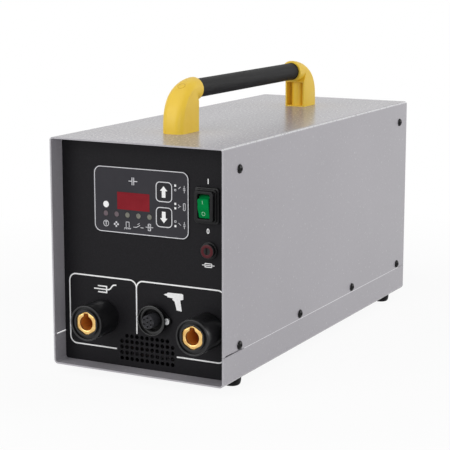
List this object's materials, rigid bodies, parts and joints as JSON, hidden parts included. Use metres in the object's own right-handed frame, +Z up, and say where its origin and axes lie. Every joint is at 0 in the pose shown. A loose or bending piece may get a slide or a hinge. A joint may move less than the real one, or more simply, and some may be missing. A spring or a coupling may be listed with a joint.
{
  "type": "stud welder power unit",
  "caption": "Portable capacitor-discharge stud welder: grey sheet-steel case with carrying handle, membrane controls, rocker switch, fuse, welding sockets and a control socket",
  "frame": {"origin": "on the floor under the middle of the unit", "axes": "+X to the right as seen from the front, +Y from the front to the rear, +Z up"},
  "size_m": [0.1848, 0.4576, 0.274],
  "materials": {
    "grey_powder_coat": "fine textured powder coat",
    "black_powder_coat": "satin powder coat",
    "blackened_steel": "black oxide",
    "zinc_steel": "zinc plated",
    "black_rubber": "matt",
    "yellow_plastic": "semi-gloss moulded",
    "black_aluminium": "black, finely ribbed",
    "membrane_film": "fine grained film",
    "red_window": "tinted, clear",
    "lens_plastic": "translucent",
    "circuit_board": "solder resist",
    "black_plastic": "moulded",
    "green_plastic": "moulded",
    "dark_red_plastic": "moulded",
    "fuse_ceramic": "glazed",
    "brass": "machined",
    "insert_plastic": "moulded",
    "can_sleeve": "shrunk sleeve",
    "copper": "rolled bar",
    "sink_aluminium": "extruded",
    "core_steel": "stacked laminations"
  },
  "bodies": {
    "case": {"base_tray": "grey_powder_coat", "hood": "grey_powder_coat", "front_panel": "black_powder_coat", "rear_panel": "grey_powder_coat", "hood_screws": "blackened_steel", "clip_nuts": "zinc_steel", "rubber_feet": "black_rubber", "foot_screws": "zinc_steel", "handle_tube": "black_aluminium", "handle_end_front": "yellow_plastic", "handle_end_rear": "yellow_plastic", "handle_screws": "zinc_steel", "handle_plugs": "yellow_plastic", "membrane_panel": "membrane_film", "display_window": "red_window", "status_lenses": "lens_plastic", "control_board": "circuit_board", "display_module": "black_plastic", "board_pillars": "zinc_steel", "board_screws": "zinc_steel", "switch_housing": "black_plastic", "switch_boot": "black_rubber", "switch_terminals": "brass", "fuse_holder": "black_plastic", "earth_socket_shell": "black_plastic", "earth_socket_insert": "brass", "gun_socket_shell": "black_plastic", "gun_socket_insert": "brass", "panel_nuts": "zinc_steel", "control_socket_shell": "black_plastic", "control_socket_insert": "insert_plastic", "control_socket_contacts": "brass", "control_socket_screws": "zinc_steel", "capacitor_cans": "can_sleeve", "capacitor_terminals": "brass", "terminal_screws": "zinc_steel", "capacitor_bracket": "zinc_steel", "busbar_positive": "copper", "busbar_negative": "copper", "earth_strap": "copper", "gun_strap": "copper", "thyristor_link": "copper", "thyristor_module": "black_plastic", "heat_sink": "sink_aluminium", "transformer_core": "core_steel", "transformer_winding": "copper", "power_board": "circuit_board", "power_board_pillars": "zinc_steel", "fan_frame": "black_plastic", "fan_guard": "zinc_steel", "fan_screws": "zinc_steel", "mains_inlet": "black_plastic", "inlet_pins": "zinc_steel", "inlet_screws": "zinc_steel"},
    "rocker": {"switch_rocker": "green_plastic"},
    "up_button": {"up_key": "membrane_film"},
    "down_button": {"down_key": "membrane_film"},
    "fuse_carrier": {"fuse_cartridge": "fuse_ceramic"},
    "fuse_knob": {"fuse_cap": "dark_red_plastic"},
    "fan_wheel": {"fan_rotor": "black_plastic"}
  },
  "joints": [
    {"name": "rocker_tip", "type": "hinge", "parent": "case", "child": "rocker", "pos_m": [0.065, -0.19625, 0.1699], "axis": [-1, 0, 0], "range_deg": [0, 20]},
    {"name": "up_press", "type": "slide", "parent": "case", "child": "up_button", "axis": [0, 1, 0], "range_m": [0, 0.0005], "stiffness_N_per_m": 1000},
    {"name": "down_press", "type": "slide", "parent": "case", "child": "down_button", "axis": [0, 1, 0], "range_m": [0, 0.0005], "stiffness_N_per_m": 1000},
    {"name": "fuse_pull", "type": "slide", "parent": "case", "child": "fuse_carrier", "axis": [0, -1, 0], "range_m": [0, 0.03]},
    {"name": "fuse_turn", "type": "hinge", "parent": "fuse_carrier", "child": "fuse_knob", "pos_m": [0.067, -0.20125, 0.1293], "axis": [0, 1, 0], "range_deg": [0, 90]},
    {"name": "fan_spin", "type": "hinge", "parent": "case", "child": "fan_wheel", "pos_m": [0, 0.20375, 0.139], "axis": [0, 1, 0], "continuous": true}
  ]
}
